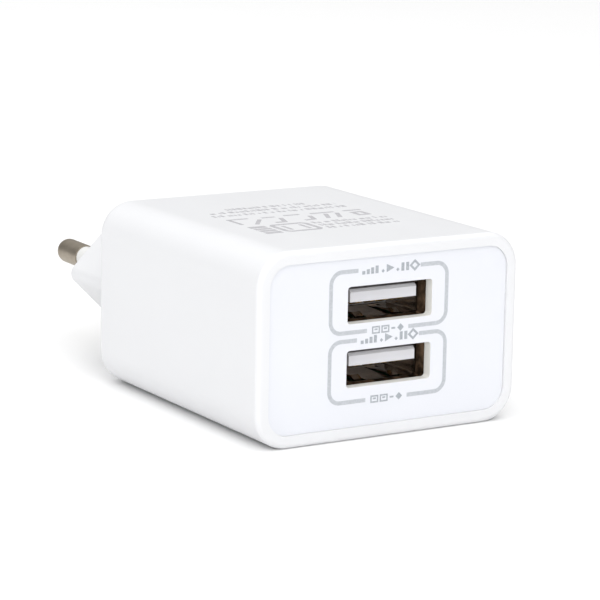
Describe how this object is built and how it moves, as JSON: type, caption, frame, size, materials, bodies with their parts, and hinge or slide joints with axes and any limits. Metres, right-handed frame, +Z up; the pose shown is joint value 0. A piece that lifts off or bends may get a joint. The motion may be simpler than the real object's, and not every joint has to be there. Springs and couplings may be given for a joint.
{
  "type": "usb wall charger",
  "caption": "Rounded white mains charger block with stacked USB-A sockets in a recessed front panel and a fixed europlug boss with sleeved round pins at the back.",
  "frame": {"origin": "centre of the box's bottom, on the surface the charger lies on", "axes": "+X across the port face to the right as seen from the front, +Y from the ports to the plug pins, +Z up"},
  "size_m": [0.044, 0.0859, 0.0283],
  "materials": {
    "housing_plastic": "smooth semi-gloss",
    "panel_plastic": "smooth gloss",
    "sleeve_plastic": "satin",
    "pin_nickel": "nickel plated brass, satin",
    "lead_brown": "smooth",
    "lead_blue": "smooth",
    "shell_steel": "plated sheet",
    "tongue_plastic": "satin",
    "contact_gold": "gold flashed",
    "board_laminate": "solder mask",
    "header_plastic": "moulded",
    "can_sleeve": "shrink sleeve",
    "can_metal": "satin can",
    "fuse_ceramic": "lacquered",
    "ferrite": "sintered",
    "copper_wire": "enamelled wire",
    "disc_ceramic": "dipped epoxy",
    "bobbin_plastic": "moulded",
    "tinned_metal": "tinned",
    "tape_yellow": "polyester tape",
    "package_epoxy": "moulded epoxy",
    "opto_white": "moulded epoxy",
    "chip_ceramic": "sintered",
    "fish_paper": "fibre sheet"
  },
  "bodies": {
    "root": {"board_link_base": "header_plastic", "board_link_pins": "contact_gold", "bridge_rectifier": "package_epoxy", "charge_controllers": "package_epoxy", "chip_parts": "chip_ceramic", "front_panel": "panel_plastic", "fuse_resistor": "fuse_ceramic", "housing": "housing_plastic", "input_choke_core": "ferrite", "input_choke_winding": "copper_wire", "insulating_sheet": "fish_paper", "left_bulk_capacitor": "can_sleeve", "left_output_capacitor": "can_metal", "left_pin_sleeve": "sleeve_plastic", "left_plug_pin": "pin_nickel", "live_lead": "lead_brown", "lower_port_contacts": "contact_gold", "lower_port_shell": "shell_steel", "lower_port_tongue": "tongue_plastic", "main_board": "board_laminate", "neutral_lead": "lead_blue", "optocoupler": "opto_white", "output_rectifier": "package_epoxy", "port_board": "board_laminate", "primary_controller": "package_epoxy", "right_bulk_capacitor": "can_sleeve", "right_output_capacitor": "can_metal", "right_pin_sleeve": "sleeve_plastic", "right_plug_pin": "pin_nickel", "snubber_diode": "package_epoxy", "transformer_bobbin": "bobbin_plastic", "transformer_core_tape": "tape_yellow", "transformer_lower_core": "ferrite", "transformer_pins": "tinned_metal", "transformer_primary": "copper_wire", "transformer_secondary": "copper_wire", "transformer_tape": "tape_yellow", "transformer_upper_core": "ferrite", "upper_port_contacts": "contact_gold", "upper_port_shell": "shell_steel", "upper_port_tongue": "tongue_plastic", "y_capacitor": "disc_ceramic"}
  },
  "joints": []
}
